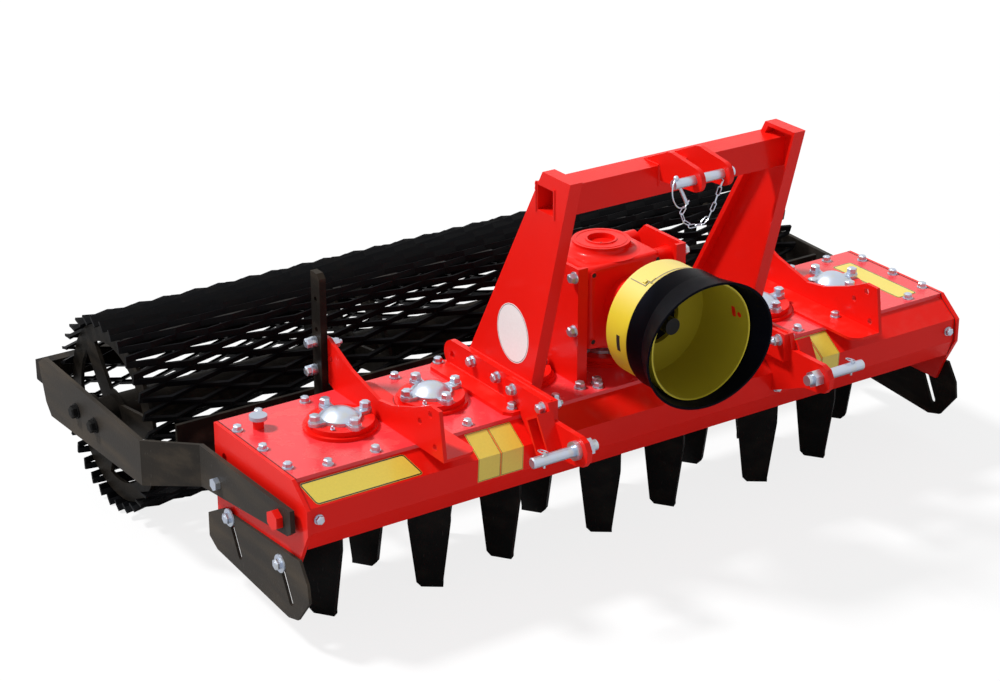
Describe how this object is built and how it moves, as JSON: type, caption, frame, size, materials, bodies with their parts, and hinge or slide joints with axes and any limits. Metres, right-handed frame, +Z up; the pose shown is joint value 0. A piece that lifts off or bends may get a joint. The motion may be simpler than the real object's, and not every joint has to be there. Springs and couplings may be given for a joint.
{
  "type": "power harrow",
  "caption": "Compact power harrow for a tractor's three-point hitch, with upright counter-turning tine rotors under a gear trough, a headstock, a shielded input shaft and a cage roller.",
  "frame": {"origin": "centre of the floor under the whole machine's outline, as it stands parked", "axes": "+X to the machine's right seen from the roller, across the working width, -Y towards the tractor, +Y towards the roller, +Z up"},
  "size_m": [1.824, 1.212, 0.879],
  "materials": {
    "red_paint": "gloss",
    "black_paint": "gloss",
    "tine_paint": "satin",
    "zinc_plate": "satin",
    "bright_steel": "satin",
    "yellow_plastic": "satin",
    "black_rubber": "matt"
  },
  "bodies": {
    "frame": {"trough": "red_paint", "lid": "red_paint", "end_plate_left": "red_paint", "end_plate_right": "red_paint", "bearing_flanges": "red_paint", "wing_bracket_left": "red_paint", "wing_bracket_right": "red_paint", "base_plate_left": "red_paint", "base_plate_right": "red_paint", "upright_left": "red_paint", "upright_right": "red_paint", "cross_tube": "red_paint", "top_link_ear_left": "red_paint", "top_link_ear_right": "red_paint", "hitch_lug_left": "red_paint", "hitch_lug_right": "red_paint", "gearbox": "red_paint", "gearbox_cover": "red_paint", "gearbox_side_plate_left": "red_paint", "gearbox_side_plate_right": "red_paint", "arm_pivot_left": "red_paint", "arm_pivot_right": "red_paint", "deflector_left": "black_paint", "deflector_right": "black_paint", "post_left": "black_paint", "post_right": "black_paint", "levelling_board": "black_paint", "bearing_caps": "zinc_plate", "filler_plug": "zinc_plate", "top_link_pin": "zinc_plate", "link_pin_left": "zinc_plate", "link_pin_right": "zinc_plate", "input_shield": "yellow_plastic", "rubber_collar": "black_rubber"},
    "input": {"input_shaft": "bright_steel"},
    "rotor_1": {"rotor_carrier_1": "black_paint", "rotor_tines_1": "tine_paint"},
    "rotor_2": {"rotor_carrier_2": "black_paint", "rotor_tines_2": "tine_paint"},
    "rotor_3": {"rotor_carrier_3": "black_paint", "rotor_tines_3": "tine_paint"},
    "rotor_4": {"rotor_carrier_4": "black_paint", "rotor_tines_4": "tine_paint"},
    "rotor_5": {"rotor_carrier_5": "black_paint", "rotor_tines_5": "tine_paint"},
    "rotor_6": {"rotor_carrier_6": "black_paint", "rotor_tines_6": "tine_paint"},
    "rotor_7": {"rotor_carrier_7": "black_paint", "rotor_tines_7": "tine_paint"},
    "roller_frame": {"roller_arm_left": "black_paint", "roller_arm_right": "black_paint", "lock_bolt_left": "zinc_plate", "lock_bolt_right": "zinc_plate", "rear_bar": "black_paint", "roller_bearing_left": "black_paint", "roller_bearing_right": "black_paint"},
    "roller": {"roller_core": "black_paint", "roller_discs": "black_paint", "roller_cage": "black_paint"}
  },
  "joints": [
    {"name": "rotor_spin_1", "type": "hinge", "parent": "frame", "child": "rotor_1", "pos_m": [-0.63, -0.23, 0.2], "axis": [0, 0, 1], "continuous": true},
    {"name": "rotor_spin_2", "type": "hinge", "parent": "frame", "child": "rotor_2", "pos_m": [-0.42, -0.23, 0.2], "axis": [0, 0, 1], "continuous": true},
    {"name": "rotor_spin_3", "type": "hinge", "parent": "frame", "child": "rotor_3", "pos_m": [-0.21, -0.23, 0.2], "axis": [0, 0, 1], "continuous": true},
    {"name": "rotor_spin_4", "type": "hinge", "parent": "frame", "child": "rotor_4", "pos_m": [0, -0.23, 0.2], "axis": [0, 0, 1], "continuous": true},
    {"name": "rotor_spin_5", "type": "hinge", "parent": "frame", "child": "rotor_5", "pos_m": [0.21, -0.23, 0.2], "axis": [0, 0, 1], "continuous": true},
    {"name": "rotor_spin_6", "type": "hinge", "parent": "frame", "child": "rotor_6", "pos_m": [0.42, -0.23, 0.2], "axis": [0, 0, 1], "continuous": true},
    {"name": "rotor_spin_7", "type": "hinge", "parent": "frame", "child": "rotor_7", "pos_m": [0.63, -0.23, 0.2], "axis": [0, 0, 1], "continuous": true},
    {"name": "input_spin", "type": "hinge", "parent": "frame", "child": "input", "pos_m": [0, -0.465, 0.5], "axis": [0, 1, 0], "continuous": true},
    {"name": "roller_lift", "type": "hinge", "parent": "frame", "child": "roller_frame", "pos_m": [0, -0.355, 0.27], "axis": [1, 0, 0], "range_deg": [0, 12]},
    {"name": "roller_spin", "type": "hinge", "parent": "roller_frame", "child": "roller", "pos_m": [0, 0.357, 0.215], "axis": [1, 0, 0], "continuous": true}
  ],
  "couplings": [
    {"joint": "rotor_spin_1", "follows": "rotor_spin_4", "ratio": -1},
    {"joint": "rotor_spin_2", "follows": "rotor_spin_4", "ratio": 1},
    {"joint": "rotor_spin_3", "follows": "rotor_spin_4", "ratio": -1},
    {"joint": "rotor_spin_5", "follows": "rotor_spin_4", "ratio": -1},
    {"joint": "rotor_spin_6", "follows": "rotor_spin_4", "ratio": 1},
    {"joint": "rotor_spin_7", "follows": "rotor_spin_4", "ratio": -1},
    {"joint": "input_spin", "follows": "rotor_spin_4", "ratio": 1.8}
  ]
}
